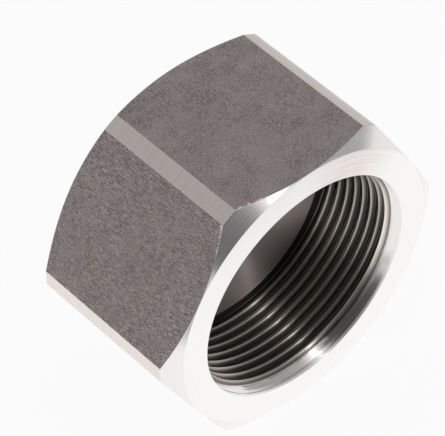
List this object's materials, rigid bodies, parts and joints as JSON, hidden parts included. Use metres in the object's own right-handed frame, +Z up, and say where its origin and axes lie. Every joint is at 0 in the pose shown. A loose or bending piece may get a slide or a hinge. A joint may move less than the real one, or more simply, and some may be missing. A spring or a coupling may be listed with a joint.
{
  "type": "hydraulic end cap",
  "caption": "Blind hexagon cap turned from steel bar, with an internally threaded bore, counterbored mouth and flat seat, that closes off a threaded hydraulic port or tube end",
  "frame": {"origin": "middle of the footprint on the ground, under the middle of the cap's length, as the cap lies on one hexagon flat", "axes": "+Z up, from the flat it lies on to the opposite flat; Y along the turning axis, with the open mouth at -Y and the closed end at +Y; +X to the side"},
  "size_m": [0.0628, 0.0336, 0.056],
  "materials": {
    "steel": "bright turned ends and corners, dull grey mill finish on the flats"
  },
  "bodies": {
    "root": {"end_cap": "steel"}
  },
  "joints": []
}
